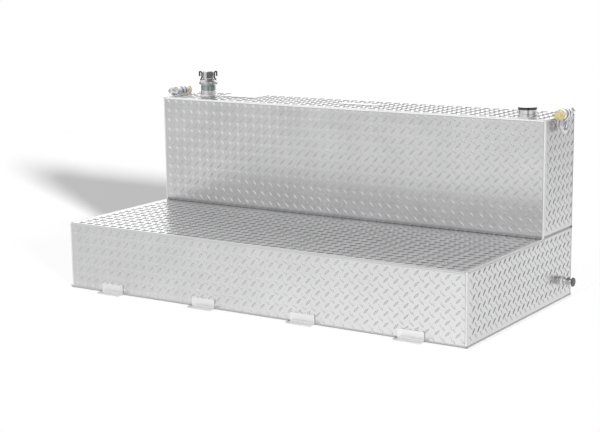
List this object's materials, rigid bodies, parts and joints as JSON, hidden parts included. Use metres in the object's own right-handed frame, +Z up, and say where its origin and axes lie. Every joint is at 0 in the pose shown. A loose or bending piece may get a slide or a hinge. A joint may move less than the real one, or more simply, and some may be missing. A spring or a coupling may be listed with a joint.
{
  "type": "truck bed transfer tank",
  "caption": "L-shaped tread-plate fuel transfer tank with a cam-lock port, screw fill cap, end drain, mounting angles and lifting shackles.",
  "frame": {"origin": "centre of the tank's underside", "axes": "+X along the tank towards the drain end, -Y towards the low step, +Z up"},
  "size_m": [1.6015, 0.7945, 0.7021],
  "materials": {
    "tread_plate": "bright rolled tread plate",
    "sheet_aluminium": "mill finish",
    "weld_bead": "bright weld metal, brushed",
    "turned_aluminium": "bright turned",
    "zinc_steel": "clear zinc plate",
    "bright_steel": "polished",
    "galvanised_steel": "hot-dip galvanised",
    "yellow_zinc": "yellow zinc plate",
    "black_steel": "black oxide",
    "seal_rubber": "moulded",
    "white_label": "coated label stock, blank"
  },
  "bodies": {
    "tank": {"front_skin": "tread_plate", "rear_skin": "tread_plate", "lower_end_left": "tread_plate", "lower_end_right": "tread_plate", "upper_end_left": "tread_plate", "upper_end_right": "tread_plate", "bottom_plate": "sheet_aluminium", "baffle_1": "sheet_aluminium", "baffle_2": "sheet_aluminium", "baffle_3": "sheet_aluminium", "foot_1": "sheet_aluminium", "foot_2": "sheet_aluminium", "foot_3": "sheet_aluminium", "foot_4": "sheet_aluminium", "lug_left": "sheet_aluminium", "lug_right": "sheet_aluminium", "weld_ring_left": "weld_bead", "weld_ring_right": "weld_bead", "weld_seam_left": "weld_bead", "weld_seam_right": "weld_bead", "weld_top_front": "weld_bead", "weld_bottom_front": "weld_bead", "weld_bottom_rear": "weld_bead", "cam_bung_weld": "weld_bead", "fill_bung_weld": "weld_bead", "drain_bung_weld": "weld_bead", "cam_bung": "turned_aluminium", "fill_bung": "turned_aluminium", "drain_bung": "turned_aluminium", "cam_adapter": "zinc_steel", "cam_cap": "bright_steel", "cam_pin_left": "bright_steel", "cam_pin_right": "bright_steel", "drain_nipple": "bright_steel", "cam_gasket": "seal_rubber", "top_label": "white_label", "strip_label": "white_label"},
    "right_lever": {"cam_lever_right": "bright_steel"},
    "left_lever": {"cam_lever_left": "bright_steel"},
    "fill_seal": {"fill_gasket": "seal_rubber"},
    "fill_lid": {"fill_cap": "bright_steel"},
    "drain_seal": {"drain_washer": "seal_rubber"},
    "drain_lid": {"drain_cap": "black_steel"},
    "right_shackle": {"shackle_right": "galvanised_steel", "shackle_pin_right": "galvanised_steel", "shackle_washer_right": "galvanised_steel", "shackle_nut_right": "yellow_zinc"},
    "left_shackle": {"shackle_left": "galvanised_steel", "shackle_pin_left": "galvanised_steel", "shackle_washer_left": "galvanised_steel", "shackle_nut_left": "yellow_zinc"}
  },
  "joints": [
    {"name": "right_lever_open", "type": "hinge", "parent": "tank", "child": "right_lever", "pos_m": [-0.62385, 0.29439, 0.6566], "axis": [-0.5446, 0.8387, 0], "range_deg": [0, 105]},
    {"name": "left_lever_open", "type": "hinge", "parent": "tank", "child": "left_lever", "pos_m": [-0.67215, 0.26301, 0.6566], "axis": [0.5446, -0.8387, 0], "range_deg": [0, 105]},
    {"name": "fill_cap_lift", "type": "slide", "parent": "tank", "child": "fill_seal", "axis": [0, 0, 1], "range_m": [0, 0.01]},
    {"name": "fill_cap_turn", "type": "hinge", "parent": "fill_seal", "child": "fill_lid", "pos_m": [0.679, 0.1954, 0.6396], "axis": [0, 0, 1], "range_deg": [0, 1620]},
    {"name": "drain_cap_out", "type": "slide", "parent": "tank", "child": "drain_seal", "axis": [1, 0, 0], "range_m": [0, 0.0091]},
    {"name": "drain_cap_turn", "type": "hinge", "parent": "drain_seal", "child": "drain_lid", "pos_m": [0.802, 0.3106, 0.062], "axis": [1, 0, 0], "range_deg": [0, 1800]},
    {"name": "right_shackle_swing", "type": "hinge", "parent": "tank", "child": "right_shackle", "pos_m": [0.7815, 0.2487, 0.6216], "axis": [0, -1, 0], "range_deg": [-10, 272]},
    {"name": "left_shackle_swing", "type": "hinge", "parent": "tank", "child": "left_shackle", "pos_m": [-0.7815, 0.2847, 0.6216], "axis": [0, 1, 0], "range_deg": [-10, 272]}
  ],
  "couplings": [
    {"joint": "fill_cap_lift", "follows": "fill_cap_turn", "m_per_rad": 0.00035157},
    {"joint": "drain_cap_out", "follows": "drain_cap_turn", "m_per_rad": 0.00028871}
  ]
}
